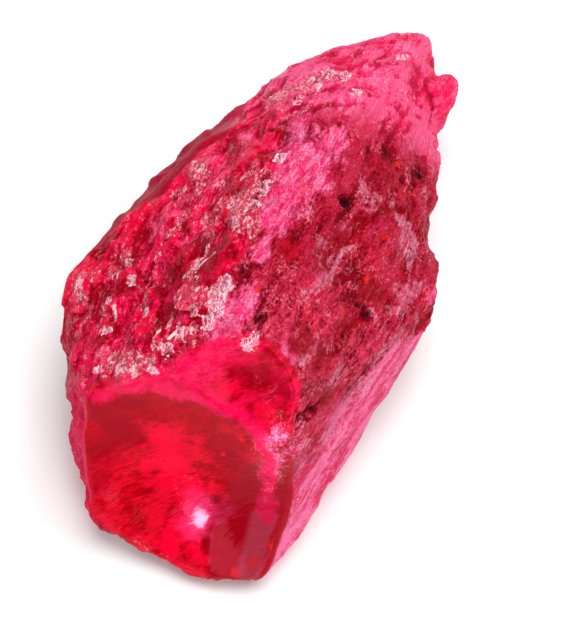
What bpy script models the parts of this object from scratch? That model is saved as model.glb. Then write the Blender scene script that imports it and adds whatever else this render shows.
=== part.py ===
"""Raw ruby crystal: one broken piece of rough ruby, lying on its flat parting face.

The stone is a steep-fronted block with a crest. A rough, crystalline slope falls from the
crest to the left, a wide weathered slope falls to the right, and glassy scoops open the
front. All of it is one solid. Lengths are millimetres until the last step, which scales
the solid to metres. +Z is up, and +Y runs from the front tip to the far tip.
"""

import math

import bmesh
import bpy
from mathutils import Euler, Matrix, Vector, noise

MM = 0.001
NODE_NAME = "ruby_crystal"

# The block before anything was struck off it: each corner's place, by what it is part of.
CREST_MM = [(0.5, -15.0, 27.5), (-2.0, -8.5, 28.0), (2.0, 1.5, 27.0), (2.6, 15.8, 22.0)]
FAR_CREST_MM = [(8.5, 18.5, 20.5), (16.5, 24.0, 16.5)]
RIGHT_SLOPE_MM = [(13.0, 4.0, 20.0), (9.0, -15.5, 17.0)]
FRONT_RIDGE_MM = [(-0.9, -17.5, 26.6), (3.0, -19.3, 25.6), (4.2, -21.5, 23.4), (2.3, -24.5, 19.6)]
FRONT_RIDGE_MM += [(1.2, -28.3, 10.8), (-0.2, -33.9, 2.6)]
FAR_TIP_MM = [(19.0, 33.6, 12.0), (20.9, 35.1, 9.0), (21.6, 31.8, 8.5), (21.4, 25.7, 9.0)]
RIGHT_RIM_MM = [(20.1, 13.8, 10.0), (20.0, -2.8, 11.0), (19.5, -4.9, 9.0), (16.2, -8.3, 6.0)]
RIGHT_FOOT_MM = [(12.6, -13.3, 5.0), (9.7, -20.2, 4.5), (6.5, -24.5, 3.0), (4.4, -28.4, 2.5)]
FRONT_FOOT_MM = [(-7.2, -32.3, 1.5), (-15.4, -27.3, 3.0), (-17.2, -27.2, 3.0), (-18.2, -26.4, 4.5)]
LEFT_RIM_MM = [(-20.4, -18.7, 7.5), (-19.5, -22.1, 6.0), (-18.8, -17.5, 15.5), (-19.5, -14.5, 16.0)]
LEFT_RIM_MM += [(-20.3, -9.9, 16.5), (-21.2, -4.3, 16.5)]
LEFT_LIP_MM = [(-17.6, -19.2, 18.4), (-12.2, -18.8, 21.0), (-7.0, -16.5, 25.3)]
BACK_RIM_MM = [(-15.8, 5.0, 15.0), (-9.2, 14.6, 14.0), (-2.0, 22.2, 14.0), (4.2, 27.4, 14.0)]
BACK_RIM_MM += [(10.5, 31.2, 13.0), (-14.5, 3.0, 18.0), (-6.5, 10.7, 20.0)]
BASE_DEPTH = -1.5
BASE_MM = [(-3.0, -28.5), (4.0, -23.5), (11.0, -6.0), (17.0, 18.0), (15.0, 28.0)]
BASE_MM += [(1.0, 19.0), (-11.0, -2.0), (-14.0, -19.0)]

# A second, smaller crystal grown against the right of the far tip.
KNOB_MM = [(22.4, 29.4, 10.0), (23.8, 28.5, 9.0), (23.6, 26.1, 9.0), (22.5, 22.8, 9.0)]
KNOB_MM += [(20.9, 27.4, 12.5), (20.6, 22.7, 12.5), (22.4, 24.6, 12.5), (21.0, 28.5, 5.0)]
KNOB_MM += [(20.5, 22.0, 5.0), (18.0, 25.0, 6.0)]

# Conchoidal scoops, as (centre, radii, turn in degrees about X, Y and Z). Each is a hollow
# like the inside of a bowl, left where a flake sprang off.
GLASSY_SCOOPS = [
    ((-15.4, -49.9, 27.5), (32.0, 32.0, 32.0), (0, 0, 0)),
    ((-3.8, -31.2, 31.2), (15.2, 15.2, 15.2), (0, 0, 0)),
    ((-3.5, -43.5, 18.8), (19.7, 19.7, 19.7), (0, 0, 0)),
]
RIM_SCOOPS = [
    ((26.8, 5.0, 12.0), (8.0, 5.6, 16.0), (30, 0, 0)),
    ((-22.9, -17.6, 12.0), (3.6, 1.9, 8.0), (30, 0, 0)),
    ((21.3, 25.6, 13.5), (0.8, 3.4, 3.0), (0, 0, 8)),
    ((9.6, -23.4, 3.0), (2.6, 1.8, 8.0), (30, 0, 0)),
]
PITS = [
    ((9.2, 2.8, 22.4), (1.3, 1.1, 1.6), (0, 0, 0)),
    ((0.7, -15.2, 27.6), (0.8, 0.7, 1.6), (0, 0, 0)),
    ((5.3, -21.7, 20.4), (0.7, 1.5, 1.6), (0, 0, -25)),
]

# The lip of the crystalline crust, from the left rim up to the crest and along the ledge.
CRUST_LIP_MM = [(-26.0, -17.0), (-19.1, -17.5), (-16.4, -18.8), (-12.2, -18.9), (-9.0, -17.8)]
CRUST_LIP_MM += [(-6.8, -16.1), (-4.4, -12.8), (-1.6, -8.7), (0.2, -3.6), (1.0, 0.9)]
CRUST_LIP_MM += [(1.4, 3.6), (3.2, 9.0), (2.8, 18.0), (4.0, 40.0)]
CRUST_RISE = 1.3
CRUST_BLOCK = 3.4
CRUST_TILT = 1.1
STREAK_RUN = Vector((0.36, 0.90, -0.24))
SLOPE_SWELL = 0.55
RISE_LIMIT = 1.5
GLASS_SWELL = 0.10

SEED = 11
GRAIN = 0.5
FINISH_GRAIN = 0.55
MOST_TRIANGLES = 10600
BELOW = 200.0
SLIVER = 0.04
RUBY_RED = (0.48, 0.010, 0.060, 1.0)


def clear_scene():
    for found in list(bpy.data.objects):
        bpy.data.objects.remove(found, do_unlink=True)


def new_collection(name):
    made = bpy.data.collections.new(name)
    bpy.context.scene.collection.children.link(made)
    return made


def object_from(shape, name, collection):
    mesh = bpy.data.meshes.new(name)
    shape.to_mesh(mesh)
    shape.free()
    made = bpy.data.objects.new(name, mesh)
    collection.objects.link(made)
    return made


def flat_faced(name, corners, collection):
    """The least body that holds all the corners: every face is flat, as a clean break is."""
    shape = bmesh.new()
    for corner in corners:
        shape.verts.new(corner)
    bmesh.ops.convex_hull(shape, input=shape.verts)
    inner = [vert for vert in shape.verts if not vert.link_faces]
    bmesh.ops.delete(shape, geom=inner, context="VERTS")
    bmesh.ops.recalc_face_normals(shape, faces=shape.faces)
    return object_from(shape, name, collection)


def as_cutter(cutter):
    cutter.hide_render = True
    cutter.display_type = "WIRE"
    return cutter


def bowl(name, centre, radii, turn, collection):
    shape = bmesh.new()
    bmesh.ops.create_icosphere(shape, subdivisions=5, radius=1.0)
    placed = Matrix.LocRotScale(centre, Euler([math.radians(a) for a in turn]), radii)
    bmesh.ops.transform(shape, matrix=placed, verts=shape.verts)
    return as_cutter(object_from(shape, name, collection))


def join(block, tool, operation):
    modifier = block.modifiers.new(tool.name, "BOOLEAN")
    modifier.object = tool
    modifier.operation = operation
    modifier.solver = "EXACT"


def apply_modifiers(block):
    """Keeps the evaluated shape as the object's own mesh."""
    bpy.context.view_layer.update()
    graph = bpy.context.evaluated_depsgraph_get()
    kept = bpy.data.meshes.new_from_object(block.evaluated_get(graph))
    block.modifiers.clear()
    block.data = kept


def regrain(block, grain):
    """Gives the block an even mesh, fine enough to carve."""
    modifier = block.modifiers.new("grain", "REMESH")
    modifier.mode = "VOXEL"
    modifier.voxel_size = grain
    apply_modifiers(block)


def past_lip(point):
    """How far inside the crust's lip a point lies, seen from above; negative outside it."""
    here = Vector((point.x, point.y))
    nearest = None
    for start, end in zip(CRUST_LIP_MM, CRUST_LIP_MM[1:]):
        run = Vector(end) - Vector(start)
        along = (here - Vector(start)).dot(run) / run.length_squared
        away = here - Vector(start) - run * min(1.0, max(0.0, along))
        side = 1.0 if run.x * away.y - run.y * away.x > 0 else -1.0
        if nearest is None or away.length < abs(nearest) - 1e-6:
            nearest = side * away.length
    return nearest


def ease(value, low, high):
    share = min(1.0, max(0.0, (value - low) / (high - low)))
    return share * share * (3.0 - 2.0 * share)


def on_scoop(point):
    """1 on a glassy scoop's face, 0 away from it."""
    share = 0.0
    for centre, radii, turn in GLASSY_SCOOPS:
        off = abs((point - Vector(centre)).length - radii[0])
        share = max(share, 1.0 - ease(off, 0.3, 0.9))
    return share


def broken(point, size):
    """Flat-topped blocks, each tilted its own way, as a parting surface breaks."""
    spots = noise.voronoi(point / size)[1]
    middle = spots[0]
    tilt = noise.noise_vector(middle * 5.3)
    return (point / size - middle).dot(tilt) * size * 0.6 + noise.noise(middle * 3.7) * 0.5


def streaked(point, length, width):
    """Swells drawn out along the fibres of the weathered slope."""
    run = STREAK_RUN.normalized()
    along = point.dot(run)
    across = point - along * run
    return noise.fractal(across / width + run * along / length, 0.9, 2.1, 3)


def carve(block):
    """Moves the surface in and out: rough crust, streaked slope, all but smooth glass."""
    moved = []
    for vert in block.data.vertices:
        point = vert.co
        lip = past_lip(point)
        upper = ease(vert.normal.z, 0.05, 0.35)
        crust = ease(lip, -0.1, 0.5) * upper
        glass = on_scoop(point) * (1.0 - crust)
        step = (1.0 - ease(lip, 1.5, 8.0)) * (1.0 - ease(point.y, 4.0, 12.0)) * ease(point.x, -20.0, -13.0)
        rise = crust * (CRUST_RISE * step + CRUST_TILT * (broken(point, CRUST_BLOCK) - 0.25))
        plain = (1.0 - crust) * (1.0 - glass)
        rise += plain * (SLOPE_SWELL * streaked(point, 9.0, 3.0) + 0.2 * broken(point, 2.6))
        rise += glass * GLASS_SWELL * streaked(point, 9.0, 3.0)
        moved.append(point + vert.normal * min(rise, RISE_LIMIT))
    for vert, point in zip(block.data.vertices, moved):
        vert.co = point


def thin_out(block):
    """Fewer triangles where the stone is flat, as many as before where it is not."""
    modifier = block.modifiers.new("fewer", "DECIMATE")
    modifier.ratio = MOST_TRIANGLES / sum(len(face.vertices) - 2 for face in block.data.polygons)
    apply_modifiers(block)


def settle(block, collection):
    """Cuts the flat parting the stone lies on, and puts the origin under its middle."""
    shape = bmesh.new()
    bmesh.ops.create_cube(shape, size=BELOW)
    bmesh.ops.translate(shape, vec=(0.0, 0.0, -BELOW / 2), verts=shape.verts)
    join(block, as_cutter(object_from(shape, "under the base", collection)), "DIFFERENCE")
    apply_modifiers(block)
    shape = bmesh.new()
    shape.from_mesh(block.data)
    bmesh.ops.remove_doubles(shape, verts=shape.verts, dist=SLIVER)
    shape.to_mesh(block.data)
    shape.free()
    across = [vert.co.x for vert in block.data.vertices]
    along = [vert.co.y for vert in block.data.vertices]
    middle = Vector(((min(across) + max(across)) / 2, (min(along) + max(along)) / 2, 0.0))
    block.data.transform(Matrix.Scale(MM, 4) @ Matrix.Translation(-middle))


def finish(block):
    material = bpy.data.materials.new("raw ruby")
    material.use_nodes = True
    shader = material.node_tree.nodes["Principled BSDF"]
    shader.inputs["Base Color"].default_value = RUBY_RED
    shader.inputs["Roughness"].default_value = 0.35
    shader.inputs["Metallic"].default_value = 0.0
    material.diffuse_color = RUBY_RED
    block.data.materials.clear()
    block.data.materials.append(material)
    block.data.shade_flat()


def main():
    clear_scene()
    noise.seed_set(SEED)
    stone_parts = new_collection("raw ruby crystal")
    cutters = new_collection("what was struck off")
    corners = CREST_MM + FAR_CREST_MM + RIGHT_SLOPE_MM + FRONT_RIDGE_MM + FAR_TIP_MM
    corners += RIGHT_RIM_MM + RIGHT_FOOT_MM + FRONT_FOOT_MM + LEFT_RIM_MM + LEFT_LIP_MM
    corners += BACK_RIM_MM + [(x, y, BASE_DEPTH) for x, y in BASE_MM]
    block = flat_faced(NODE_NAME, corners, stone_parts)
    join(block, as_cutter(flat_faced("knob", KNOB_MM, cutters)), "UNION")
    for number, (centre, radii, turn) in enumerate(GLASSY_SCOOPS + RIM_SCOOPS + PITS):
        join(block, bowl(f"scoop_{number}", centre, radii, turn, cutters), "DIFFERENCE")
    apply_modifiers(block)
    regrain(block, GRAIN)
    carve(block)
    regrain(block, FINISH_GRAIN)
    thin_out(block)
    settle(block, cutters)
    finish(block)


main()
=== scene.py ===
import math

import bpy
import numpy
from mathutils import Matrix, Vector, noise


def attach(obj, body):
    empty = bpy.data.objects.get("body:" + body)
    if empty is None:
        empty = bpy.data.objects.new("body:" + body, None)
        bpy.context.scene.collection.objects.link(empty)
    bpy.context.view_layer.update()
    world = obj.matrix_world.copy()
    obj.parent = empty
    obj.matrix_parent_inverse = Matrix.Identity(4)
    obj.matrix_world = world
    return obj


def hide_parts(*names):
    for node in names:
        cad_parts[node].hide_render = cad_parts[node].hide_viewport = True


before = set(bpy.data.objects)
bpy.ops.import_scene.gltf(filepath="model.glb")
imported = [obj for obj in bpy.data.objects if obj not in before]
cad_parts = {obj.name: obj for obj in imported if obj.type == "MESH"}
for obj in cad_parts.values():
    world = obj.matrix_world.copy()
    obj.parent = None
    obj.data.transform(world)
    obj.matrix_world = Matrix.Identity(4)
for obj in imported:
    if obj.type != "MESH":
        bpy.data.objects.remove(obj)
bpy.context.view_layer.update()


# The table and the light: a sheet of white card under a large soft lamp overhead, with a softer
# one in front, a low one on the left that picks out the small crystal faces, and a faint one that
# looks into the glassy hollow. A long lens looks down on the stone from in front.
MM = 0.001
CARD_WHITE = (0.90, 0.91, 0.91, 1.0)
ROOM_TINT = (1.0, 0.76, 0.83, 1.0)
ROOM_STRENGTH = 0.085
LAMP_WHITE = (1.0, 1.0, 1.0)
LAMP_LILAC = (1.0, 0.85, 1.0)
LOOK_AT = Vector((1.6, -5.0, 10.0)) * MM
LOOK_DOWN = math.radians(60.0)
LOOK_FROM = 0.2
LENS = 104.35
FILM_HEIGHT = 36.0

bpy.ops.object.select_all(action="DESELECT")
bpy.ops.mesh.primitive_plane_add(size=4.0, location=(0.0, 0.0, 0.0))
card = bpy.context.object
card.name = "white_card"
card_white = bpy.data.materials.new("white card")
card_white.use_nodes = True
card_shader = card_white.node_tree.nodes["Principled BSDF"]
card_shader.inputs["Base Color"].default_value = CARD_WHITE
card_shader.inputs["Roughness"].default_value = 0.85
card_shader.inputs["Specular IOR Level"].default_value = 0.1
card.data.materials.append(card_white)

world = bpy.data.worlds.new("soft room")
bpy.context.scene.world = world
world.use_nodes = True
world.node_tree.nodes["Background"].inputs["Color"].default_value = ROOM_TINT
world.node_tree.nodes["Background"].inputs["Strength"].default_value = ROOM_STRENGTH
bpy.context.scene.view_settings.view_transform = "Standard"


def lamp(name, place, target, size, watts, tint=LAMP_WHITE):
    """A square soft box of a size in metres, turned to its target."""
    light = bpy.data.lights.new(name, "AREA")
    light.size = size
    light.energy = watts
    light.color = tint
    holder = bpy.data.objects.new(name, light)
    bpy.context.scene.collection.objects.link(holder)
    holder.location = place
    holder.rotation_euler = (Vector(target) - Vector(place)).to_track_quat("-Z", "Y").to_euler()


lamp("overhead_lamp", (0.16, 0.14, 0.66), (0.0, 0.0, 0.01), 0.70, 6.7)
lamp("front_lamp", (0.12, -0.50, 0.28), (0.0, -0.01, 0.01), 0.45, 1.95)
lamp("left_lamp", (-0.33, 0.13, 0.19), (-0.008, -0.006, 0.024), 0.07, 0.22)
lamp("hollow_lamp", (-0.17, -0.27, 0.063), (-0.0076, -0.0283, 0.0069), 0.03, 0.04, LAMP_LILAC)

back = Vector((0.0, -math.cos(LOOK_DOWN), math.sin(LOOK_DOWN)))
view = bpy.data.cameras.new("camera")
view.sensor_fit = "VERTICAL"
view.sensor_height = FILM_HEIGHT
view.lens = LENS
camera = bpy.data.objects.new("camera", view)
bpy.context.scene.collection.objects.link(camera)
camera.location = LOOK_AT + back * LOOK_FROM
camera.rotation_euler = back.to_track_quat("Z", "Y").to_euler()
bpy.context.scene.camera = camera


# The ruby crystal: one lump of raw corundum, grown in its rock and broken out of it. Its left face
# is a crust of small stepped crystals, its near end a clear glassy break, and its right side a
# dull fibrous slope with pale veins. It lies on a flat parting face.

# Places are in millimetres in the frame of the part. On the plan, the crust, the waxy face and
# the part of the crust that is in shade each lie to the left of their own line.
CRUST_LIP = [
    (-27.4, -17.5), (-20.8, -17.3), (-17.6, -18.3), (-15.1, -19.7), (-13.3, -19.8), (-11.8, -19.2),
    (-9.6, -18.4), (-8.1, -17.2), (-6.7, -15.6), (-5.3, -13.2), (-3.7, -10.9), (-2.5, -9.0),
    (-1.8, -6.6), (-1.2, -3.1), (-0.1, 0.4), (0.3, 4.2), (1.6, 9.5), (1.9, 14.0), (2.6, 39.0)
]
WAXY_EDGE = [
    (9.6, -16.0), (7.2, -18.9), (5.1, -23.1), (3.0, -25.7), (1.7, -27.9), (0.0, -29.9), (-0.8, -31.9),
    (-2.0, -36.0)
]
SHADED_EDGE = [
    (-19.0, -1.0), (-16.4, 1.5), (-11.0, 4.9), (-7.8, 9.4), (-5.0, 11.9), (-2.9, 20.4), (-2.0, 28.0)
]
# The hollows of the glassy end: the middle of a ball that would fill each, and its radius.
GLASSY_SCOOPS = [((-16.8, -50.9, 27.5), 32.0), ((-5.2, -32.2, 31.2), 15.2), ((-4.9, -44.5, 18.8), 19.7)]
FIBRE_RUN = Vector((0.36, 0.90, -0.24)).normalized()

# Where the colour of the stone changes: a middle and a reach for each cloud.
ROSE_CLOUDS = [
    (-4.9, 5.8, 22.7, 3.0), (-8.1, 2.8, 21.3, 2.2), (-11.7, -0.8, 21.6, 1.7), (-2.2, 9.6, 21.9, 1.8),
    (3.2, 6.4, 24.6, 2.2), (5.2, 4.2, 24.0, 1.7), (2.1, 0.2, 26.2, 2.1), (0.6, -4.3, 26.9, 1.5),
    (-0.7, -8.0, 27.5, 1.1), (7.1, 9.3, 22.4, 1.5), (-4.1, -15.6, 26.8, 1.7), (-2.4, -14.0, 27.7, 1.1),
    (-3.7, -17.6, 26.3, 1.5), (-5.9, -18.0, 25.5, 1.3), (-6.4, -19.0, 23.9, 1.5),
    (-8.0, -20.2, 22.3, 1.0), (-10.6, -20.3, 21.0, 0.9), (-14.1, -20.1, 20.8, 0.9),
    (-4.6, -22.1, 19.8, 0.8), (-1.9, -23.6, 19.1, 0.9), (-0.1, -25.3, 17.6, 1.2),
    (1.1, -24.7, 19.6, 0.8), (-0.3, -26.4, 12.8, 0.7), (1.8, -18.8, 25.5, 0.7), (20.9, 23.7, 11.6, 0.8),
    (18.1, -4.2, 11.7, 0.8), (15.5, 27.9, 14.1, 1.4), (11.4, 22.0, 17.2, 1.6), (3.6, 20.3, 18.6, 1.5),
    (8.4, 16.5, 20.4, 1.6), (3.3, 11.7, 22.8, 1.4), (-17.6, 1.5, 16.3, 0.9), (-7.8, -3.7, 23.6, 1.1)
]
CLEAR_DEEPS = [
    (-5.5, -9.8, 28.0, 1.3), (-7.2, -10.8, 26.8, 1.0), (-9.4, -7.7, 24.7, 1.1), (-4.8, -7.7, 28.0, 0.8),
    (-9.9, -12.4, 24.9, 0.9), (-15.4, -8.6, 21.5, 1.3), (-14.4, -3.6, 20.1, 0.9),
    (-17.0, -20.9, 16.5, 1.9), (-15.4, -22.0, 14.0, 2.1), (-17.9, -23.2, 11.6, 1.6),
    (-13.6, -20.6, 18.1, 1.4), (-18.4, -25.2, 8.5, 1.2), (-0.7, -20.4, 22.7, 1.8),
    (-2.4, -20.0, 22.7, 1.3), (1.1, -21.4, 22.7, 0.9), (-4.3, -24.7, 14.1, 2.0),
    (-2.9, -26.3, 11.5, 1.9), (-4.0, -27.6, 8.8, 1.7), (-1.9, -27.9, 8.7, 1.2), (-4.7, -30.6, 4.9, 1.5),
    (-3.2, -32.3, 3.5, 1.5), (-5.3, -23.6, 15.4, 0.9), (3.1, -16.9, 24.6, 1.3), (5.0, -18.4, 22.1, 1.5),
    (5.7, -19.9, 18.4, 1.3), (7.8, -13.5, 20.6, 1.3), (10.9, -7.5, 18.7, 1.3), (7.4, -3.6, 22.4, 1.2),
    (5.3, -7.2, 23.9, 1.1), (13.6, -1.3, 16.8, 0.9), (19.1, 22.8, 11.9, 0.7), (19.6, 25.0, 11.3, 0.6),
    (19.3, 21.5, 11.3, 0.6)
]
LIT_DEPTHS = [
    (-9.9, -24.1, 11.6, 2.5), (-8.2, -26.4, 9.0, 2.1), (-8.9, -28.7, 5.9, 2.1),
    (-11.1, -22.7, 13.6, 1.7), (-7.4, -30.7, 4.5, 1.3), (-12.6, -24.5, 10.0, 1.3),
    (-0.7, -22.6, 20.3, 0.9), (1.9, -22.8, 21.7, 0.6), (-3.9, -20.8, 21.2, 0.9),
    (-10.7, -30.0, 4.1, 1.3)
]
FROST_VEILS = [
    (14.9, 1.8, 15.6, 1.0), (15.9, 0.3, 14.2, 1.0), (14.3, 2.9, 17.2, 0.8), (15.5, -5.1, 14.5, 1.2),
    (14.0, -9.9, 14.3, 1.3), (11.0, 2.1, 20.5, 1.0), (9.8, 4.3, 21.1, 0.9), (13.8, -7.1, 15.9, 0.9),
    (5.0, -9.6, 23.8, 1.2), (5.1, -5.9, 24.1, 0.8), (8.0, -1.6, 22.2, 0.7), (7.3, -17.6, 19.0, 1.1),
    (12.3, -12.5, 14.6, 1.2), (6.4, -21.1, 12.6, 1.2), (8.5, -17.9, 12.8, 1.2),
    (10.2, -15.5, 13.3, 1.0), (-20.8, -7.1, 17.5, 0.9), (-20.0, -11.9, 17.7, 1.0),
    (-17.5, -15.8, 20.1, 1.0), (-19.0, -8.8, 18.4, 0.9), (-15.1, -18.1, 22.1, 0.9),
    (17.5, 7.9, 12.7, 0.9), (3.7, -24.3, 15.8, 0.8), (-4.1, -3.6, 27.3, 1.2), (-2.0, -0.9, 27.0, 1.0),
    (-6.6, -5.7, 25.7, 0.8)
]
EMBER_SPOTS = [
    (-1.1, -12.8, 27.6, 0.4), (12.3, -0.9, 18.9, 0.4), (12.8, -2.3, 17.9, 0.4), (7.9, -11.3, 20.9, 0.4),
    (-3.0, -24.2, 16.7, 0.5), (-4.9, -24.4, 14.1, 0.4), (-1.6, -32.2, 3.8, 0.6),
    (-0.2, -31.0, 5.3, 0.4), (-3.7, -33.1, 2.8, 0.5), (-20.2, -17.8, 15.5, 0.5),
    (-18.4, -19.2, 19.1, 0.6), (14.2, 9.6, 17.2, 0.4), (11.3, 12.5, 19.4, 0.3), (10.1, -6.7, 19.4, 0.4),
    (3.5, 1.6, 25.0, 0.4), (-1.9, -18.3, 26.2, 0.4)
]
DARK_PITS = [
    (7.9, 2.2, 21.3, 1.0), (12.7, 11.0, 18.5, 0.6), (13.5, 9.6, 18.2, 0.4), (16.9, 10.7, 14.1, 0.6),
    (9.5, -9.8, 19.5, 0.6), (10.5, -10.1, 18.4, 0.5), (7.8, -14.0, 20.5, 0.4), (-0.7, -15.6, 27.1, 0.5),
    (8.4, -8.7, 20.7, 0.3), (-1.3, -9.5, 27.5, 0.4), (-2.4, -10.5, 27.7, 0.3), (5.3, -2.8, 24.1, 0.3),
    (14.7, 7.8, 16.5, 0.3), (4.0, -22.4, 19.4, 0.6), (2.9, -23.5, 20.3, 0.4), (5.0, -21.2, 18.4, 0.4)
]
PINK_RIM = [
    (0.8, -25.0, 17.4, 1.6), (0.6, -25.7, 15.4, 1.5), (0.3, -26.3, 13.2, 1.1), (1.4, -24.2, 19.0, 1.2),
    (0.0, -27.0, 11.2, 0.6)
]
KNOB = (20.6, 23.6, 10.6, 2.6)
# A painted glare: the bright spot of light at the foot of the window, and the halo round it.
GLARE_MIDDLE = (-7.4, -28.5, 6.8)
GLARE_REACH = 1.1
GLARE_HALO_REACH = 3.0
# Where small crystal flakes crowd together, in the same way; there they get painted glints.
FLAKE_PATCHES = [
    (-9.5, 3.3, 20.7, 1.3), (-7.6, 4.7, 21.4, 1.4), (-5.4, -0.7, 25.3, 1.6), (-2.5, -4.0, 28.3, 1.6),
    (-2.7, -5.7, 28.4, 1.0), (-9.1, -1.8, 22.7, 1.4), (-6.0, -3.6, 25.0, 1.4), (-16.2, -4.9, 19.3, 1.2),
    (-20.8, -5.9, 17.4, 0.9), (-20.0, -8.2, 18.0, 0.8), (-17.3, -12.0, 19.7, 1.1),
    (-6.2, -13.6, 27.1, 1.2), (-5.4, -12.3, 27.7, 0.7), (-6.9, -14.6, 26.7, 0.7),
    (-9.7, -15.3, 25.5, 0.7), (-11.0, -18.1, 24.9, 0.7), (-8.5, -16.9, 25.6, 0.7),
    (-14.2, -18.4, 22.6, 1.0), (-12.5, -18.4, 23.6, 0.8), (-16.3, -17.1, 20.7, 0.7),
    (-3.7, -11.4, 27.7, 0.4), (-12.8, -10.8, 21.7, 0.7), (-7.3, -8.7, 26.7, 0.4),
    (-2.9, -18.0, 26.4, 0.7), (7.3, 21.9, 17.9, 1.3), (5.4, 20.1, 18.9, 1.1), (3.3, 17.9, 20.3, 1.3),
    (1.9, 17.8, 20.0, 0.8), (0.5, 15.8, 20.5, 1.0), (-1.0, 15.3, 19.4, 0.8), (15.8, 27.4, 14.2, 0.9),
    (0.9, 4.7, 25.6, 0.5), (-0.9, 1.2, 26.8, 1.6), (-1.4, -0.5, 27.2, 0.9), (-2.4, -1.5, 26.9, 1.3),
    (-4.8, 3.0, 24.0, 1.3)
]
# The flat crystal faces that stand out of the crust: middle, then half length and half width.
FLASH_FACES = [
    (-5.1, -13.7, 26.8, 1.6, 0.9), (-6.2, -15.6, 26.0, 0.8, 0.7), (-4.2, -12.0, 27.4, 0.8, 0.7),
    (-10.4, -18.2, 25.0, 0.8, 0.6), (-9.1, -16.4, 25.7, 0.6, 0.5), (-11.8, -19.0, 23.0, 0.7, 0.4),
    (-13.5, -19.3, 22.6, 0.8, 0.3), (1.1, 4.8, 25.5, 0.7, 0.6), (-0.8, 0.5, 26.9, 0.9, 0.4),
    (-1.6, -2.5, 27.4, 0.7, 0.5), (-3.4, -4.9, 27.9, 0.7, 0.6), (-15.1, -4.8, 19.9, 0.5, 0.5),
    (-14.4, -8.2, 21.9, 0.6, 0.5), (-20.3, -6.4, 17.9, 0.6, 0.5), (-17.0, -13.1, 19.9, 0.5, 0.6),
    (-2.3, -18.2, 26.3, 0.6, 0.6), (-6.5, -7.4, 26.2, 1.0, 0.25), (-7.5, -9.0, 26.7, 0.8, 0.25),
    (-3.9, -1.7, 26.2, 0.5, 0.4), (-16.7, -9.8, 20.5, 0.4, 0.4), (-12.5, -12.4, 22.4, 0.5, 0.4),
    (6.8, 21.4, 18.1, 0.9, 0.5), (8.5, 20.5, 18.7, 0.8, 0.6), (5.3, 18.0, 20.2, 0.7, 0.5),
    (3.0, 15.4, 21.5, 0.8, 0.4), (4.7, 20.2, 18.8, 0.6, 0.4), (9.6, 18.0, 19.4, 0.6, 0.5),
    (15.4, 26.7, 14.7, 0.6, 0.6), (-1.4, -17.8, 26.7, 0.7, 0.4), (-7.9, -14.7, 26.9, 0.5, 0.4),
    (-17.8, -17.8, 19.9, 0.4, 0.5), (-15.3, -18.9, 22.0, 0.6, 0.4)
]

# Lines on the stone: cracks that are cut in, pale veins, lit edges, edges with a glint, and the
# slivers of crystal that stick out of the crust, painted on as bright lines of glint.
CRACKS = [
    [(9.3, -1.6, 21.4), (11.1, 0.5, 20.2), (12.9, 3.3, 18.6), (14.8, 4.1, 16.4)],
    [(6.8, -8.3, 22.3), (10.0, -6.1, 19.6)],
    [(7.8, -14.1, 20.5), (8.8, -12.1, 19.8), (10.5, -10.1, 18.4)],
    [(-2.5, 14.2, 19.3), (1.1, 15.2, 21.2), (4.4, 16.7, 21.0), (7.8, 18.1, 20.1), (11.3, 19.2, 18.6)],
    [(-0.2, 9.7, 23.1), (3.3, 13.0, 22.3), (6.6, 14.7, 21.5), (9.5, 16.1, 20.0)],
    [(-0.8, 3.8, 26.5), (-0.4, 1.2, 26.6), (-1.5, -1.5, 26.9)],
    [(18.2, 24.8, 12.1), (19.0, 23.0, 11.9), (18.7, 20.4, 11.2)],
    [(2.3, -24.0, 20.0), (2.9, -23.5, 20.3), (4.0, -22.4, 19.4), (5.0, -21.2, 18.4),
     (5.8, -20.4, 18.2)],
    [(-17.2, -3.6, 18.6), (-13.8, -6.4, 21.4), (-11.2, -11.0, 23.6)],
    [(13.2, 13.1, 18.0), (14.2, 8.9, 17.2)]
]
VEINS = [
    [(13.7, 4.1, 17.8), (14.0, 2.4, 17.6), (14.5, 1.5, 16.1), (13.8, -1.6, 16.2)],
    [(15.1, 3.3, 15.6), (16.0, 1.8, 14.0), (15.5, -1.3, 14.7), (14.9, -4.7, 15.2), (14.5, -7.1, 15.2)],
    [(4.6, -6.6, 24.3), (5.6, -8.5, 23.6), (7.4, -7.9, 21.6)],
    [(10.9, -9.9, 18.1), (12.0, -12.2, 15.9), (11.0, -14.2, 13.8)],
    [(15.3, -6.6, 14.4), (16.1, -7.4, 11.2), (15.0, -9.5, 11.0), (13.6, -12.2, 10.6)],
    [(6.3, -7.9, 22.9), (7.4, -5.4, 22.4), (9.3, -3.6, 21.2)],
    [(3.0, -19.2, 24.4), (4.6, -17.8, 23.6), (5.4, -14.6, 22.8)]
]
LIT_EDGES = [
    [(-10.3, -20.5, 20.4), (-7.5, -21.2, 20.3), (-4.6, -22.1, 19.9), (-1.9, -23.3, 19.4),
     (-0.9, -24.5, 18.5)],
    [(-0.9, -24.5, 18.5), (-0.3, -25.5, 16.5), (-0.1, -26.8, 11.6), (-0.3, -27.7, 9.6),
     (-0.1, -28.9, 7.8)],
    [(-20.5, -17.5, 14.4), (-17.0, -20.1, 18.8), (-13.4, -20.0, 20.7), (-11.0, -19.7, 22.1),
     (-8.1, -18.9, 24.1)]
]
GLINT_EDGES = [
    [(-17.4, -28.6, 5.6), (-12.9, -30.9, 3.0), (-8.8, -33.0, 1.8), (-5.0, -34.2, 0.8)],
    [(-8.7, -9.9, 25.3), (-6.7, -7.9, 26.1), (-5.4, -8.7, 27.8)],
    [(-0.1, -26.8, 11.6), (-0.3, -27.7, 9.6)],
    [(1.2, -23.4, 21.2), (3.2, -22.6, 20.4), (4.6, -21.0, 18.6)],
    [(-2.0, 11.0, 22.4), (3.2, 15.4, 22.0), (9.0, 18.6, 19.6)]
]
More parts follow.
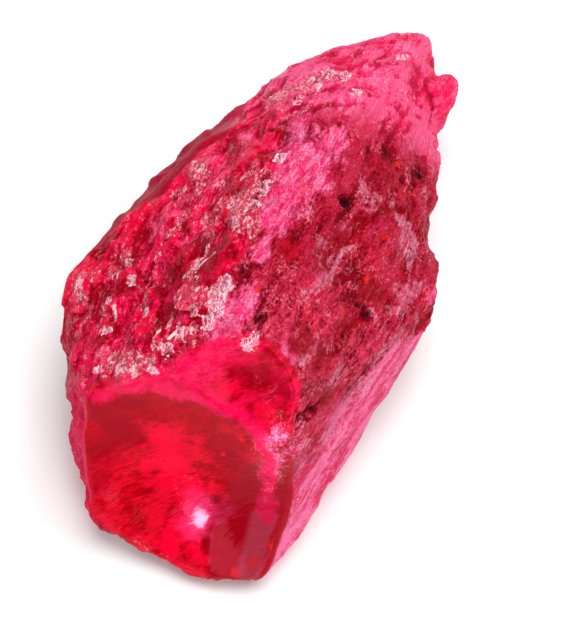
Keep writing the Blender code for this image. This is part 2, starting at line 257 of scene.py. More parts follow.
SLIVER_GLINTS = [
    [(-8.8, -9.8, 25.2), (-7.1, -9.6, 27.1), (-5.5, -8.3, 27.5)],
    [(-7.4, -9.7, 26.7), (-6.3, -8.8, 27.2)], [(-16.2, -10.7, 20.7), (-16.1, -11.6, 20.2)],
    [(-14.8, -19.3, 22.3), (-13.6, -19.2, 22.7), (-12.6, -18.6, 23.4)],
    [(-3.5, -10.8, 27.8), (-3.0, -12.5, 27.7)], [(-4.3, -11.3, 28.0), (-4.0, -11.9, 27.5)],
    [(-11.8, -16.6, 24.5), (-11.0, -16.0, 25.1)], [(-10.1, -17.1, 25.4), (-9.5, -16.4, 25.6)],
    [(-6.4, -15.4, 26.0), (-5.7, -14.5, 26.5)], [(-7.3, -12.9, 27.3), (-6.9, -12.1, 27.5)]
]

# How high the relief stands and how wide its steps and ledges are, in millimetres.
STEP_HEIGHT = 0.16
STEP_WIDTH = 3.0
CRYSTAL_HEIGHT = 0.36
GRIT_HEIGHT = 0.06
FIBRE_HEIGHT = 0.20
SPLINTER_HEIGHT = 0.22
SWELL_HEIGHT = 0.20
CHUNK_HEIGHT = 0.12
GLASS_SWELL = 0.03
SHADED_SWELL = 0.08
PIT_DEPTH = 0.38
CRACK_DEPTH = 0.40
LEDGE_HEIGHT = 0.24
LEDGE_WIDTH = 2.3

# The skin: the size of its faces in millimetres, and how many times it is smoothed.
GRAIN = 0.295
SMOOTHING_TURNS = 4
SEED = 23
OUT_OF_REACH = 1e9

bpy.ops.object.select_all(action="DESELECT")
source = bpy.data.objects["ruby_crystal"]
stone = source.copy()
stone.data = source.data.copy()
stone.name = "raw_ruby"
bpy.context.scene.collection.objects.link(stone)
bpy.context.view_layer.objects.active = stone
stone.select_set(True)
bpy.ops.object.mode_set(mode="EDIT")
bpy.ops.mesh.select_all(action="SELECT")
bpy.ops.mesh.remove_doubles(threshold=0.001 * MM)
bpy.ops.object.mode_set(mode="OBJECT")


def regrain(piece, size):
    """Gives a piece an even skin of small faces."""
    grid = piece.modifiers.new("even_skin", "REMESH")
    grid.mode = "VOXEL"
    grid.voxel_size = size * MM
    bpy.ops.object.modifier_apply(modifier=grid.name)


def soften(piece, turns):
    """Takes the facets of the solid off a piece."""
    smooth = piece.modifiers.new("soften", "SMOOTH")
    smooth.factor = 0.5
    smooth.iterations = turns
    bpy.ops.object.modifier_apply(modifier=smooth.name)


regrain(stone, GRAIN)
soften(stone, SMOOTHING_TURNS)

noise.seed_set(SEED)
count = len(stone.data.vertices)
flat = numpy.empty(count * 3)
stone.data.vertices.foreach_get("co", flat)
places = flat.reshape(-1, 3) / MM
stone.data.vertices.foreach_get("normal", flat)
outward = flat.reshape(-1, 3).copy()
right, away, up = places.T
spots = [Vector(place) for place in places]


def each(rule):
    """A rule for one spot, worked out at every point of the stone."""
    return numpy.array([rule(spot) for spot in spots])


def wandering(spot):
    """The pull that keeps the edges of clouds and lines from being even, in three sizes."""
    pull = Vector((0.0, 0.0, 0.0))
    for pace, strength in ((0.45, 1.3), (1.3, 0.6), (3.1, 0.3)):
        pull += noise.noise_vector(spot * pace) * strength
    return pull


drift = each(wandering)
wander = drift[:, 0]


def ease(value, low, high):
    """A share that rises gently from 0 at the low mark to 1 at the high one."""
    share = numpy.clip((value - low) / (high - low), 0.0, 1.0)
    return share * share * (3.0 - 2.0 * share)


def past(path):
    """How far to the left of a path each point lies, seen from above; negative to its right."""
    nearest = numpy.full(count, OUT_OF_REACH)
    for start, end in zip(path, path[1:]):
        start = numpy.array(start)
        run = numpy.array(end) - start
        offset = places[:, :2] - start
        along = numpy.clip(offset @ run / (run @ run), 0.0, 1.0)
        off = offset - along[:, None] * run
        distance = numpy.linalg.norm(off, axis=1)
        side = numpy.where(run[0] * off[:, 1] - run[1] * off[:, 0] > 0, 1.0, -1.0)
        nearest = numpy.where(distance < numpy.abs(nearest) - 1e-6, side * distance, nearest)
    return nearest


def clouds(spread, sway=1.0, stretch=1.5):
    """How much of a cloud each point lies in; clouds are drawn out along the fibres."""
    points = places + sway * drift
    clear = numpy.ones(count)
    run = numpy.array(FIBRE_RUN)
    for x, y, z, reach in spread:
        offset = points - numpy.array((x, y, z))
        along = offset @ run
        across = numpy.linalg.norm(offset - along[:, None] * run, axis=1)
        distance = numpy.hypot(across, along / stretch) / reach
        clear *= 1.0 - numpy.exp(-numpy.power(distance, 2.0) * 0.9)
    return 1.0 - clear


def near(paths, sway, reach):
    """How near each point lies to the closest of some lines: 1 on it, 0 at its reach."""
    points = places + sway * drift
    nearest = numpy.full(count, OUT_OF_REACH)
    for path in paths:
        for start, end in zip(path, path[1:]):
            start = numpy.array(start)
            run = numpy.array(end) - start
            offset = points - start
            along = numpy.clip(offset @ run / (run @ run), 0.0, 1.0)
            distance = numpy.linalg.norm(offset - along[:, None] * run, axis=1)
            nearest = numpy.minimum(nearest, distance)
    return 1.0 - ease(nearest, 0.0, reach)


def broken(point, size, pull=1.5, tilting=1.1, stepping=0.45):
    """Flat-topped crystals, each tilted its own way and drawn out along the fibres."""
    point = point - FIBRE_RUN * (point.dot(FIBRE_RUN) * (1.0 - 1.0 / pull))
    middle = noise.voronoi(point / size)[1][0]
    tilt = noise.noise_vector(middle * 5.3)
    return ((point / size - middle).dot(tilt) * tilting + noise.noise(middle * 3.7) * stepping) * size


def streaked(point, length, width, roughness=0.9, spacing=2.1, octaves=3):
    """Swells drawn out along the fibres."""
    along = point.dot(FIBRE_RUN)
    across = point - along * FIBRE_RUN
    return noise.fractal(across / width + FIBRE_RUN * along / length, roughness, spacing, octaves)


# The stone's zones, as shares of 0 to 1 at each point.
within_lip = past(CRUST_LIP) + 0.3 * wander
crust = ease(within_lip, -0.2, 0.3) * ease(outward[:, 2], 0.0, 0.3)
off_scoop = []
for centre, radius in GLASSY_SCOOPS:
    off_scoop.append(numpy.abs(numpy.linalg.norm(places - numpy.array(centre), axis=1) - radius))
on_scoop = [1.0 - ease(off, 0.35, 0.8) for off in off_scoop]
glass = numpy.maximum.reduce(on_scoop) * (1.0 - crust)
plain = (1.0 - crust) * (1.0 - glass)
last_scoop = ease(off_scoop[0] - off_scoop[2] + 0.35 * wander, -0.1, 0.1) * on_scoop[2]
hollow = on_scoop[1] * (1.0 - crust)
# The upper part of the big window, which the material paints darker: painted shade.
window_upper_shade = ease(up - 0.4 * right + wander, 14.0, 22.0) * on_scoop[0]
left_face = ease(-outward[:, 0], 0.45, 0.75) * ease(-away, 15.0, 18.0) * (1.0 - crust)
waxy = ease(past(WAXY_EDGE), -0.5, 0.7) * (1.0 - glass) * (1.0 - crust) * ease(outward[:, 0], 0.1, 0.4)
shaded = ease(past(SHADED_EDGE) + 0.4 * wander, -0.3, 0.5)
far = ease(away + 0.8 * wander, 10.0, 17.5)
# The near, lower end of the slope, which the material paints lighter: painted light.
low = ease(-away + wander, 6.0, 16.0) * (1.0 - glass) * (1.0 - crust)
by_edge = past(WAXY_EDGE) + 0.15 * wander
greyed = ease(by_edge, -2.6, -1.9) * ease(by_edge, 0.3, 0.0) * ease(-up, -8.6, -8.2) * on_scoop[2]
pit = clouds(DARK_PITS, sway=0.75, stretch=1.6)
knob = clouds([KNOB], sway=0.0)
cracked = near(CRACKS, sway=0.3, reach=0.75)
veined = near(VEINS, sway=0.35, reach=0.8)
edged = near(LIT_EDGES, sway=0.55, reach=2.0)
glinting = near(GLINT_EDGES, sway=0.2, reach=1.3)
sliver_glints = near(SLIVER_GLINTS, sway=0.06, reach=0.42)

# The relief: steps and crystals on the crust, fibres on the slope, ledges on the far end.
terrace = within_lip / STEP_WIDTH + each(lambda spot: noise.noise(spot / 4.5)) * 1.1
tread = terrace - numpy.floor(terrace)
step = tread - ease(tread, 0.80, 1.0) - 0.3
coarse = each(lambda spot: broken(spot, 2.6, 1.8))
fine = each(lambda spot: broken(spot, 0.9))
fibre = each(lambda spot: streaked(spot, 4.0, 0.7))
swell = each(lambda spot: streaked(spot, 12.0, 3.0))
above_foot = ease(up, 3.0, 9.0) * 0.7 + 0.3
rimmed = above_foot * (0.35 + 0.65 * ease(right + 0.4 * away, -27.0, -20.0))
stepped = STEP_HEIGHT * step + CRYSTAL_HEIGHT * coarse + GRIT_HEIGHT * fine
relief = crust * (1.0 - shaded) * stepped * rimmed
splintered = (FIBRE_HEIGHT * fibre + SPLINTER_HEIGHT * fine) * (1.0 - 0.6 * far)
relief += plain * (1.0 - 0.7 * waxy) * (splintered + SWELL_HEIGHT * swell + CHUNK_HEIGHT * coarse)
relief += glass * GLASS_SWELL * swell
relief += crust * shaded * SHADED_SWELL * swell
relief *= 1.0 - 0.85 * knob
relief -= (PIT_DEPTH * pit + CRACK_DEPTH * cracked * (1.0 - 0.6 * far)) * (1.0 - glass)
ledge = (0.94 * away - 0.34 * right + wander) / LEDGE_WIDTH
ledge = ledge - numpy.floor(ledge)
relief += far * plain * LEDGE_HEIGHT * (ledge - ease(ledge, 0.72, 1.0) - 0.3)
moved = places + outward * relief[:, None]

# Each flat face is turned halfway between the camera and the left lamp, give or take a little,
# so that it flashes. It flattens what lies within its depth in millimetres.
FACE_SWAY = 0.25
FACE_DEPTH = 1.2
to_camera = numpy.array((0.0, -0.5, 0.866))
to_lamp = numpy.array((-0.86, 0.35, 0.40))
flash = numpy.zeros(count)
for x, y, z, half_length, half_width in FLASH_FACES:
    facing = to_camera + to_lamp + FACE_SWAY * numpy.array(noise.noise_vector(Vector((x, y, z))))
    facing = facing / numpy.linalg.norm(facing)
    run = numpy.array(FIBRE_RUN) - facing * (numpy.array(FIBRE_RUN) @ facing)
    run = run / numpy.linalg.norm(run)
    offset = moved - numpy.array((x, y, z))
    height = offset @ facing
    along = numpy.abs(offset @ run) / half_length
    across = numpy.abs(offset @ numpy.cross(facing, run)) / half_width
    inside = 1.0 - ease(numpy.maximum(along, across), 0.85, 1.15)
    share = inside * (numpy.abs(height) < FACE_DEPTH) * (outward @ facing > 0.3)
    level = height[share > 0.5].mean() if (share > 0.5).any() else 0.0
    moved += (share * (level - height))[:, None] * facing
    flash = numpy.maximum(flash, share)
moved[:, 2] = numpy.maximum(moved[:, 2], 0.0)
stone.data.vertices.foreach_set("co", (moved * MM).ravel())
stone.data.update()


def keep(name, *columns):
    """Stores four shares on each point of the stone, for its material to read."""
    layer = stone.data.attributes.new(name, "FLOAT_COLOR", "POINT")
    layer.data.foreach_set("color", numpy.stack(columns, axis=1).astype(numpy.float32).ravel())


rosy = clouds(ROSE_CLOUDS)
deepened = clouds(CLEAR_DEEPS)
lit_up = clouds(LIT_DEPTHS)
frosted = clouds(FROST_VEILS, stretch=2.2)
embers = clouds(EMBER_SPOTS, sway=0.4)
rim = clouds(PINK_RIM)
glare_core = clouds([(*GLARE_MIDDLE, GLARE_REACH)], sway=0.3, stretch=1.0)
glare_halo = clouds([(*GLARE_MIDDLE, GLARE_HALO_REACH)])
# How high each point stands in the relief; the material paints low places darker and high ones lighter:
# painted shade in the hollows, painted highlight on the crests.
relief_for_painted_light = numpy.clip(0.5 + relief * 1.1, 0.0, 1.0)
keep("zones", crust, glass, waxy, far)
keep("clouds", rosy, deepened, lit_up, frosted)
keep("spots", embers, pit, flash, rim)
keep("lie", relief_for_painted_light, shaded, last_scoop, left_face)
keep("lines", cracked, veined, edged, glinting)
keep("glow", glare_core, glare_halo, knob, hollow)
keep("trims", greyed + sliver_glints * crust, low, window_upper_shade, clouds(FLAKE_PATCHES))


class Value:
    """A socket that can be added, multiplied and eased as if it were a number."""

    def __init__(self, tree, socket):
        self.tree = tree
        self.socket = socket

    def node(self, kind, settings=None, **inputs):
        """Adds a node: its settings first, then the values or links of its sockets."""
        made = self.tree.nodes.new(kind)
        for name, setting in (settings or {}).items():
            setattr(made, name, setting)
        return self.fill(made, **inputs)

    def fill(self, made, **inputs):
        """Gives a node's sockets values or links; i2 stands for the socket with the number 2."""
        for name, given in inputs.items():
            place = int(name[1:]) if name[0] == "i" and name[1:].isdigit() else name.replace("_", " ")
            if isinstance(given, Value):
                self.tree.links.new(given.socket, made.inputs[place])
            elif isinstance(given, bpy.types.NodeSocket):
                self.tree.links.new(given, made.inputs[place])
            else:
                made.inputs[place].default_value = given
        return made

    def maths(self, how, left, right):
        made = self.node("ShaderNodeMath", {"operation": how}, i0=left, i1=right)
        return Value(self.tree, made.outputs[0])

    def __add__(self, other):
        return self.maths("ADD", self, other)

    def __sub__(self, other):
        return self.maths("SUBTRACT", self, other)

    def __mul__(self, other):
        return self.maths("MULTIPLY", self, other)

    def __rsub__(self, other):
        return self.maths("SUBTRACT", other, self)

    __radd__ = __add__
    __rmul__ = __mul__

    def ease(self, low, high):
        """A share that rises gently from 0 at the low mark to 1 at the high one."""
        made = self.node("ShaderNodeMapRange", {"interpolation_type": "SMOOTHSTEP"},
                         i0=self, i1=low, i2=high)
        return Value(self.tree, made.outputs[0])


ruby = bpy.data.materials.new("raw ruby")
ruby.use_nodes = True
tree = ruby.node_tree
where = Value(tree, tree.nodes.new("ShaderNodeTexCoord").outputs["Object"])
EVEN = (1.0, 1.0, 1.0)
UNTURNED = (0.0, 0.0, 0.0)
ALONG_FIBRES = (math.atan2(-0.24, 0.97), 0.0, -math.atan2(0.36, 0.90))


def colour_mix(share, under, over):
    """One colour laid over another by a share."""
    made = where.node("ShaderNodeMix", {"data_type": "RGBA"}, i0=share, i6=under, i7=over)
    return Value(tree, made.outputs[2])


def shares(name):
    """The four shares that a named layer holds at each point."""
    layer = where.node("ShaderNodeAttribute", {"attribute_name": name})
    parts = where.node("ShaderNodeSeparateColor", i0=layer.outputs["Color"])
    return [Value(tree, part) for part in (*parts.outputs, layer.outputs["Alpha"])]


def placed(size, stretch, turn):
    """Places on the stone, counted in steps of a size in millimetres along and across a run."""
    made = where.node("ShaderNodeMapping", {"vector_type": "TEXTURE"}, Vector=where, Rotation=turn,
                      Scale=tuple(size * MM * pull for pull in stretch))
    return Value(tree, made.outputs[0])


def grains(size, stretch=EVEN, turn=UNTURNED, detail=3.0):
    """Cloudy noise of a size in millimetres."""
    made = where.node("ShaderNodeTexNoise", Vector=placed(size, stretch, turn), Scale=1.0,
                      Detail=detail, Roughness=0.6)
    return Value(tree, made.outputs["Fac"])


def facets(size, stretch=EVEN, turn=UNTURNED):
    """The heights of small flat crystal faces, each tilted its own way."""
    spot = placed(size, stretch, turn)
    cell = where.node("ShaderNodeTexVoronoi", Vector=spot, Scale=1.0)
    tilt = where.node("ShaderNodeVectorMath", {"operation": "SUBTRACT"},
                      i0=cell.outputs["Color"], i1=(0.5, 0.5, 0.5))
    reach = where.node("ShaderNodeVectorMath", {"operation": "SUBTRACT"},
                       i0=spot, i1=cell.outputs["Position"])
    height = where.node("ShaderNodeVectorMath", {"operation": "DOT_PRODUCT"},
                        i0=tilt.outputs[0], i1=reach.outputs[0])
    return Value(tree, height.outputs["Value"])


def edges(size, width, stretch=EVEN, turn=UNTURNED):
    """The thin lines where small crystal faces meet."""
    cell = where.node("ShaderNodeTexVoronoi", {"feature": "DISTANCE_TO_EDGE"},
                      Vector=placed(size, stretch, turn), Scale=1.0)
    return 1 - Value(tree, cell.outputs["Distance"]).ease(0.3 * width, width)


def cells(size, stretch=EVEN, turn=UNTURNED):
    """A share of its own for each small crystal face."""
    cell = where.node("ShaderNodeTexVoronoi", Vector=placed(size, stretch, turn), Scale=1.0)
    parts = where.node("ShaderNodeSeparateColor", i0=cell.outputs["Color"])
    return Value(tree, parts.outputs[0])


def threads(size, stretch=EVEN, turn=UNTURNED):
    """Thin wavy threads."""
    made = where.node("ShaderNodeTexNoise", {"noise_type": "RIDGED_MULTIFRACTAL"},
                      Vector=placed(size, stretch, turn), Scale=1.0, Detail=3.0, Roughness=0.6,
                      Distortion=0.4)
    return Value(tree, made.outputs["Fac"])


def wriggles(size, width, stretch=EVEN, turn=UNTURNED):
    """Thin wandering lines, where cloudy noise passes its middle."""
    off = grains(size, stretch, turn, 2.0) - 0.5
    return (off * off).ease(width * width, 0.1 * width * width)


on_crust, on_glass, on_wax, far_end = shares("zones")
rose, deep, lit, frost = shares("clouds")
ember, pitted, flashing, on_rim = shares("spots")
height, in_shade, on_last, on_left = shares("lie")
in_crack, on_vein, on_edge, on_glint = shares("lines")
on_glare, on_glare_halo, on_knob, on_hollow = shares("glow")
grey_or_sliver_glint, on_lit_low_slope, in_window_upper_shade, flaky = shares("trims")
on_sliver_glint = grey_or_sliver_glint * on_crust
on_grey = grey_or_sliver_glint * on_glass
off_glass = 1 - on_glass
out_of_shade = 1 - in_shade
off_shaded_crust = 1 - in_shade * on_crust

CRIMSON = (0.90, 0.003, 0.052, 1.0)
DARK_CRIMSON = (0.36, 0.0006, 0.008, 1.0)
CRUST_ROSE = (0.94, 0.020, 0.15, 1.0)
DEEP_RED = (0.34, 0.0006, 0.008, 1.0)
CERISE = (0.98, 0.004, 0.085, 1.0)
ROSE = (0.97, 0.036, 0.18, 1.0)
LILAC = (1.0, 0.20, 0.43, 1.0)
PALE_ROSE = (0.95, 0.30, 0.48, 1.0)
SLOPE_DARK = (0.13, 0.001, 0.006, 1.0)
SLOPE_RED = (0.32, 0.0030, 0.014, 1.0)
SLOPE_ROSE = (0.54, 0.018, 0.060, 1.0)
SLOPE_GLOW = (0.72, 0.003, 0.020, 1.0)
LIT_LOW_PINK = (0.84, 0.068, 0.155, 1.0)
FAR_DARK = (0.42, 0.005, 0.030, 1.0)
FAR_RED = (0.88, 0.014, 0.10, 1.0)
FAR_ROSE = (0.97, 0.11, 0.28, 1.0)
FROST = (0.70, 0.20, 0.32, 1.0)
WINDOW_RED = (0.86, 0.0006, 0.014, 1.0)
FOOT_RED = (0.84, 0.010, 0.045, 1.0)
WINDOW_DARK = (0.41, 0.0003, 0.003, 1.0)
LIT_RED = (1.0, 0.0015, 0.034, 1.0)
EMBER = (0.90, 0.020, 0.010, 1.0)
WAX_RED = (0.72, 0.036, 0.12, 1.0)
WAX = (1.0, 0.20, 0.42, 1.0)
SHADE_RED = (0.34, 0.002, 0.022, 1.0)
LAST_RED = (0.50, 0.001, 0.010, 1.0)
RIM_PINK = (1.0, 0.055, 0.24, 1.0)
GLARE_VIOLET = (1.0, 0.62, 0.95, 1.0)
PIT_SHADE = (0.05, 0.002, 0.006, 1.0)
FACE_PINK = (0.84, 0.070, 0.17, 1.0)
GREY_PINK = (0.56, 0.058, 0.105, 1.0)
LEFT_PINK = (0.95, 0.016, 0.10, 1.0)
PAINTED_GLINT = (1.0, 0.78, 0.86, 1.0)
BLACK = (0.0, 0.0, 0.0, 1.0)

# The textures, each by the size of its grain in millimetres and how it is drawn out and turned.
swarm = grains(5.0, (1.0, 1.5, 1.0), ALONG_FIBRES, 2.0)
mottle = grains(2.4, (1.0, 1.8, 1.0), ALONG_FIBRES)
strand = grains(0.9, (0.7, 2.6, 0.7), ALONG_FIBRES)
speck = grains(0.30, (1.0, 1.4, 1.0), ALONG_FIBRES, 2.0)
feather = grains(0.9, (2.4, 1.0, 0.7), (0.0, -0.45, 0.35))
ripple = threads(1.1, (2.6, 1.0, 0.5), (0.0, -0.30, 0.35))
streak = grains(1.6, (0.8, 6.0, 1.0), (0.25, 0.0, -0.62), 4.0)
chip = cells(0.60, (0.8, 1.6, 0.7), ALONG_FIBRES)
sliver = cells(0.34, (0.7, 2.4, 0.6), ALONG_FIBRES)
cross = cells(0.36, (2.0, 0.7, 0.6), (0.5, 0.3, 0.9))
thread = threads(1.5, (0.7, 1.8, 0.7), ALONG_FIBRES)
plate = cells(1.4, (0.8, 1.35, 0.8), ALONG_FIBRES)
gap = edges(1.4, 0.09, (0.8, 1.35, 0.8), ALONG_FIBRES)
stroke = wriggles(0.50, 0.06, (0.8, 1.7, 0.7), ALONG_FIBRES)
crease = wriggles(0.95, 0.045, (0.8, 1.9, 0.7), ALONG_FIBRES)
hatch = grains(0.34, (3.4, 1.0, 0.6), (0.0, -0.38, 0.35), 2.0)
warp = mottle - 0.5 + (strand - 0.5) * 0.7 + (speck - 0.5) * 0.4
gritty = speck.ease(0.4, 0.6)


def patch(share, pull, low, high):
    """A cloud or a line with a broken edge."""
    return (share + warp * pull).ease(low, high) * share.ease(0.02, 0.20)


# The colour of the slope, which is the colour of all that isn't crust, far end, glass or wax.
# Low places of the slope are painted darker and high ones pinker: painted shade and painted highlight.
tone = mottle * 0.5 + strand * 0.6 + speck - 0.5 + (height - 0.5) * 0.8 - 0.05
slope = colour_mix(tone.ease(0.36, 0.66), SLOPE_RED, SLOPE_ROSE)
# The lower slope is painted a lighter pink: painted light.
slope = colour_mix(on_lit_low_slope * (strand * 0.7 + speck * 0.5 - 0.1).ease(0.38, 0.62) * 0.6, slope, LIT_LOW_PINK)
tone = speck * 0.7 + strand * 0.4 + (height - 0.5) * 0.7
slope = colour_mix(tone.ease(0.50, 0.36) * 0.8, slope, SLOPE_DARK)
slope = colour_mix((swarm * 0.8 + strand * 0.5 - 0.15).ease(0.54, 0.66) * 0.55, slope, SLOPE_GLOW)

# The colour of the crust, with the slope beside it.
# Low places of the crust are painted darker and high ones brighter: painted shade and painted highlight.
tone = mottle + (strand - 0.5) * 0.9 + (height - 0.5) * 0.6
body = colour_mix(tone.ease(0.34, 0.62), DARK_CRIMSON, CRIMSON)
tone = swarm * 0.6 + strand * 0.5 + (speck - 0.5) * 0.9
body = colour_mix(tone.ease(0.54, 0.66) * 0.6, body, CRUST_ROSE)
body = colour_mix(1 - on_crust, body, slope)

# The far end, paler, with painted highlight on its ridges and painted shade in its grooves.
tone = swarm * 0.5 + mottle * 0.4 + strand * 0.5 + (speck - 0.5) * 0.5 + (height - 0.5) * 0.9 - 0.18
far_tone = colour_mix(tone.ease(0.38, 0.62), FAR_RED, FAR_ROSE)
far_tone = colour_mix((height + (strand - 0.5) * 0.7).ease(0.46, 0.30) * 0.6, far_tone, FAR_DARK)
body = colour_mix(far_end * 0.9, body, far_tone)

# The glassy hollows: dark above as painted shade, redder at the foot, and feathered across the break.
clear = colour_mix((feather * 0.7 + mottle * 0.6 - 0.15).ease(0.34, 0.66), WINDOW_DARK, WINDOW_RED)
clear = colour_mix((ripple - 0.2).ease(0.4, 1.1) * 0.4, clear, LIT_RED)
clear = colour_mix(hatch.ease(0.52, 0.36) * 0.5, clear, WINDOW_DARK)
# The upper window is painted dark: painted shade.
clear = colour_mix(in_window_upper_shade * (0.42 + 0.5 * feather), clear, WINDOW_DARK)
tone = (mottle + (hatch - 0.5) * 0.6).ease(0.40, 0.60)
clear = colour_mix((1 - in_window_upper_shade) * tone * 0.45, clear, FOOT_RED)
tone = (strand * 0.7 + (hatch - 0.5) * 0.6 + 0.1).ease(0.50, 0.36)
clear = colour_mix(on_hollow * tone * 0.5, clear, WINDOW_DARK)
tone = (mottle * 0.6 + feather * 0.6 - 0.1).ease(0.38, 0.62)
clear = colour_mix(on_hollow * tone * 0.75, clear, CERISE)
body = colour_mix(on_glass, body, clear)

# The waxy face.
tone = streak * 0.9 + strand * 0.3 + (speck - 0.5) * 0.3 - 0.1
wax = colour_mix(tone.ease(0.38, 0.60), WAX_RED, WAX)
body = colour_mix(on_wax * 0.9, body, wax)

# The clouds of rose, clear red and frost, and the light that comes out of the depths.
tone = (strand * 0.7 + speck * 0.5 - 0.1).ease(0.42, 0.60) * (1 - 0.45 * on_crust) * (1 - 0.9 * on_glass)
pink = colour_mix(tone, colour_mix(on_crust + on_glass, ROSE, CERISE), LILAC)
body = colour_mix(patch(rose, 1.0, 0.08, 0.75) * 0.85, body, pink)
body = colour_mix(patch(deep, 0.9, 0.12, 0.80) * (0.90 - 0.25 * on_glass), body, DEEP_RED)
body = colour_mix(in_shade * 0.85, body, SHADE_RED)
tone = lit + (feather - 0.5) * 0.7 + (mottle - 0.5) * 0.8 + (hatch - 0.5) * 0.9 * on_glass
body = colour_mix(tone.ease(0.05, 0.95), body, LIT_RED)
body = colour_mix(patch(frost, 1.5, 0.3, 0.9) * (0.25 + 0.5 * gritty), body, FROST)
tone = (thread - 0.1).ease(0.5, 1.1) * off_glass * (1 - 0.6 * on_crust)
body = colour_mix(tone * 0.2, body, PALE_ROSE)
# Thin creases are painted dark crimson: painted shade in them.
tone = crease * gritty * off_glass * (1 - on_wax) * (1 - far_end * 0.8)
body = colour_mix(tone * 0.6, body, DARK_CRIMSON)

# The last hollow, the grey and pink faces beside it, the pink rim, the knob and the lit edges.
last = colour_mix((ripple - 0.2).ease(0.4, 1.0) * 0.6, LAST_RED, CRIMSON)
last = colour_mix(hatch.ease(0.50, 0.38) * 0.6, last, WINDOW_DARK)
body = colour_mix(on_last * 0.95, body, last)
body = colour_mix(on_grey * (0.4 + 0.6 * hatch), body, GREY_PINK)
body = colour_mix(on_left * 0.8, body, LEFT_PINK)
tone = colour_mix(strand.ease(0.46, 0.60) * 0.6, RIM_PINK, LILAC)
body = colour_mix(patch(on_rim, 1.0, 0.15, 0.90) * 0.85, body, tone)
# White strokes on the rim are painted glints.
body = colour_mix(on_rim * stroke * speck.ease(0.44, 0.54) * 0.6, body, PAINTED_GLINT)
tone = colour_mix(strand.ease(0.50, 0.66), CERISE, RIM_PINK)
body = colour_mix(on_knob * (1 - in_crack) * 0.8, body, tone)
tone = colour_mix((strand * 0.6 + mottle * 0.5).ease(0.56, 0.72) * 0.35, CERISE, ROSE)
body = colour_mix((on_edge + warp * 0.9).ease(0.20, 1.05) * on_edge.ease(0.0, 0.3) * 0.9, body, tone)
body = colour_mix(patch(on_vein, 1.3, 0.3, 0.95) * off_glass * (0.25 + 0.5 * gritty), body, FROST)
# The cut-in cracks are painted deep red: painted shade in them.
body = colour_mix(patch(in_crack, 0.9, 0.35, 0.8) * off_glass * (0.85 - 0.5 * far_end), body, DEEP_RED)

# The crystals of the crust: where they crowd, their plates and flakes with painted glints, and the dark
# between them.
sparkling = on_crust * out_of_shade * (1 - flaky) + flaky + on_glint * 0.6
sparkling = sparkling * (1 - 0.7 * deep)
crowd = swarm * 0.8 + mottle * 0.45 + strand * 0.4 - 0.34 + (height - 0.5) * 0.4 - on_crust * 0.02
cluster = (crowd + flaky * 0.30 + flashing * 0.2 + on_glint * 0.2).ease(0.61, 0.72) * sparkling
# The hollows of the lit crust are painted deep red: painted shade.
tone = (0.55 - height + (mottle - 0.5) * 0.8).ease(0.1, 0.4)
body = colour_mix(tone * on_crust * out_of_shade * 0.8, body, DEEP_RED)
# The slivers are painted as white lines: painted glints.
tone = (on_sliver_glint + (speck - 0.5) * 0.6).ease(0.45, 0.75) * 0.85 * on_sliver_glint.ease(0.0, 0.2)
body = colour_mix(tone, body, PAINTED_GLINT)
plated = patch(flaky, 0.8, 0.30, 0.60) * off_shaded_crust
body = colour_mix(plated * plate.ease(0.36, 0.42) * (0.20 + 0.45 * plate), body, FACE_PINK)
# Flecks on the plates are painted white: painted glints.
tone = (speck * 0.8 + strand * 0.4 - 0.1).ease(0.46, 0.58)
body = colour_mix(plated * plate.ease(0.58, 0.64) * tone * 0.55, body, PAINTED_GLINT)
flake = sliver * mottle.ease(0.56, 0.50) + cross * mottle.ease(0.50, 0.56)
flake = flake + (chip - flake) * far_end * 0.8
body = colour_mix(cluster * flake.ease(0.36, 0.28) * 0.7, body, DARK_CRIMSON)
# Flakes in the crowds are painted pale pink and white: painted glints.
body = colour_mix((flake + 0.36 * cluster).ease(1.0, 1.15) * 0.35, body, FACE_PINK)
tone = (flake + 0.15 * cluster + 0.03 * flaky).ease(1.0, 1.05)
body = colour_mix(tone * speck.ease(0.38, 0.52), body, PAINTED_GLINT)
body = colour_mix(plated * gap * 0.7, body, DARK_CRIMSON)
body = colour_mix(stroke * cluster * speck.ease(0.52, 0.60) * 0.4, body, PAINTED_GLINT)
# Loose white strokes elsewhere are painted glints too.
loose = (mottle * 0.6 + strand * 0.7 - 0.14).ease(0.52, 0.62)
loose = loose * off_shaded_crust * off_glass * (1 - 0.7 * deep)
body = colour_mix(stroke * loose * speck.ease(0.46, 0.56) * 0.24, body, PAINTED_GLINT)

# The painted glare at the foot of the window, the embers, the pits with painted shade in them and the
# flat flashing faces with painted glints.
# The halo and the core of the glare are painted pink and pale violet: a painted highlight.
body = colour_mix((on_glare_halo + (feather - 0.5) * 0.9).ease(0.25, 1.0) * on_glass * 0.8, body, ROSE)
tone = (on_glare + (feather - 0.5) * 0.9 + (hatch - 0.5) * 0.7).ease(0.3, 0.8)
body = colour_mix(tone * on_glass, body, GLARE_VIOLET)
body = colour_mix(patch(ember, 1.0, 0.25, 0.9) * 0.75, body, EMBER)
# The pits are painted near black: painted shade in them.
body = colour_mix(patch(pitted, 0.7, 0.35, 0.8) * off_glass, body, PIT_SHADE)
# The flat faces are painted pale pink, partly their frost and partly painted sheen, and streaked with
# painted glints.
on_face = (flashing + (strand - 0.5) * 0.8 + (speck - 0.5) * 0.5).ease(0.40, 0.62)
on_face = on_face * flashing.ease(0.02, 0.2)
tone = colour_mix(chip.ease(0.4, 0.5), FACE_PINK, PALE_ROSE)
body = colour_mix(on_face * (0.36 + 0.3 * chip), body, tone)
tone = (stroke * 0.6 + (speck - 0.5) * 1.6 + (flake - 0.6) * 0.5).ease(0.0, 0.40)
body = colour_mix(on_face * tone * 0.9, body, PAINTED_GLINT)

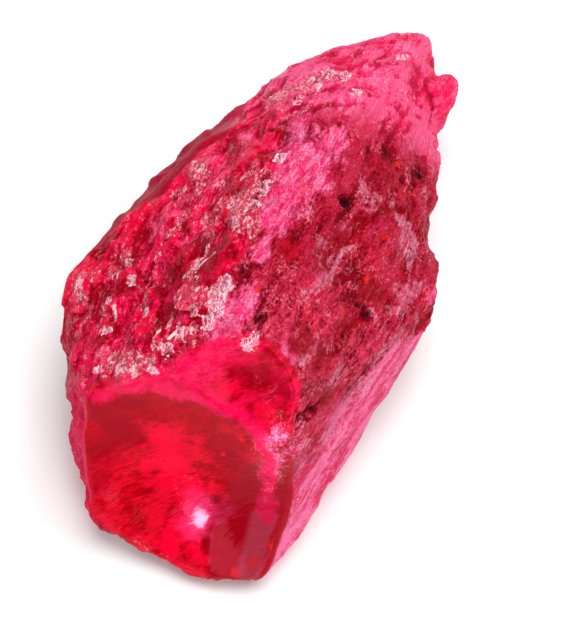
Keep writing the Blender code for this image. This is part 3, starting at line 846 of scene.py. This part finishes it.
# Three skins make the stone: the coloured body, the see-through depths and the gloss of facets.
RUBY_IOR = 1.76
BODY_GLOW = 0.35
CHIP_DEPTH = 0.42 * MM
STAIN = (0.985, 0.03, 0.10, 1.0)
STAIN_DENSITY = 400.0
chips = facets(0.62, (0.9, 1.5, 0.8), ALONG_FIBRES) * on_crust * out_of_shade * (1 - 0.6 * deep)
grit = speck * 0.7 * (1 - 0.6 * on_crust) + strand * 0.5 - crease * 0.15
rise = chips * 1.3 + grit * off_glass + (feather * 0.15 + hatch * 0.05) * on_glass
ridge = where.node("ShaderNodeBump", Height=rise, Strength=1.0, Distance=CHIP_DEPTH).outputs["Normal"]
# The glass glows by emission in its own colour: a painted glow, as the stone is no lamp.
glow = colour_mix(on_glass * (1 - on_last * 0.7), BLACK, body)
duller = 0.40 - 0.24 * on_glass - 0.18 * on_crust * out_of_shade + 0.1 * on_wax
shader = where.fill(tree.nodes["Principled BSDF"], Base_Color=body, Roughness=duller, IOR=RUBY_IOR,
                    Specular_IOR_Level=0.01, Specular_Tint=(1.0, 0.45, 0.62, 1.0),
                    Emission_Color=glow, Emission_Strength=BODY_GLOW, Normal=ridge)
depths = where.node("ShaderNodeBsdfPrincipled", Base_Color=(1.0, 0.01, 0.03, 1.0), Roughness=0.08,
                    IOR=RUBY_IOR, Specular_IOR_Level=0.04, Specular_Tint=(1.0, 0.15, 0.28, 1.0),
                    Transmission_Weight=1.0, Normal=ridge)
skin = where.node("ShaderNodeBsdfPrincipled", Base_Color=(0.70, 0.010, 0.055, 1.0), Roughness=0.11,
                  IOR=RUBY_IOR, Specular_IOR_Level=1.0, Specular_Tint=(1.0, 0.7, 0.8, 1.0),
                  Normal=ridge)
see_through = (0.35 + 0.10 * on_last) * on_glass * (1 - on_rim) + (0.06 + 0.2 * deep) * off_glass
both = where.node("ShaderNodeMixShader", i0=see_through, i1=shader.outputs[0], i2=depths.outputs[0])
glint = 0.26 * cluster + 0.10 * speck.ease(0.55, 0.67) * off_glass * off_shaded_crust
whole = where.node("ShaderNodeMixShader", i0=glint, i1=both.outputs[0], i2=skin.outputs[0])
stain = where.node("ShaderNodeVolumeAbsorption", Color=STAIN, Density=STAIN_DENSITY)
where.fill(tree.nodes["Material Output"], Surface=whole.outputs[0], Volume=stain.outputs[0])

# The crystals of the lit crust keep sharp facets; the rest of the stone is smooth.
stone.data.materials.clear()
stone.data.materials.append(ruby)
sharp = crust * (1.0 - shaded) > 0.5
smooth = [not sharp[face.vertices[0]] for face in stone.data.polygons]
stone.data.polygons.foreach_set("use_smooth", smooth)
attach(stone, "root")
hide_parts("ruby_crystal")
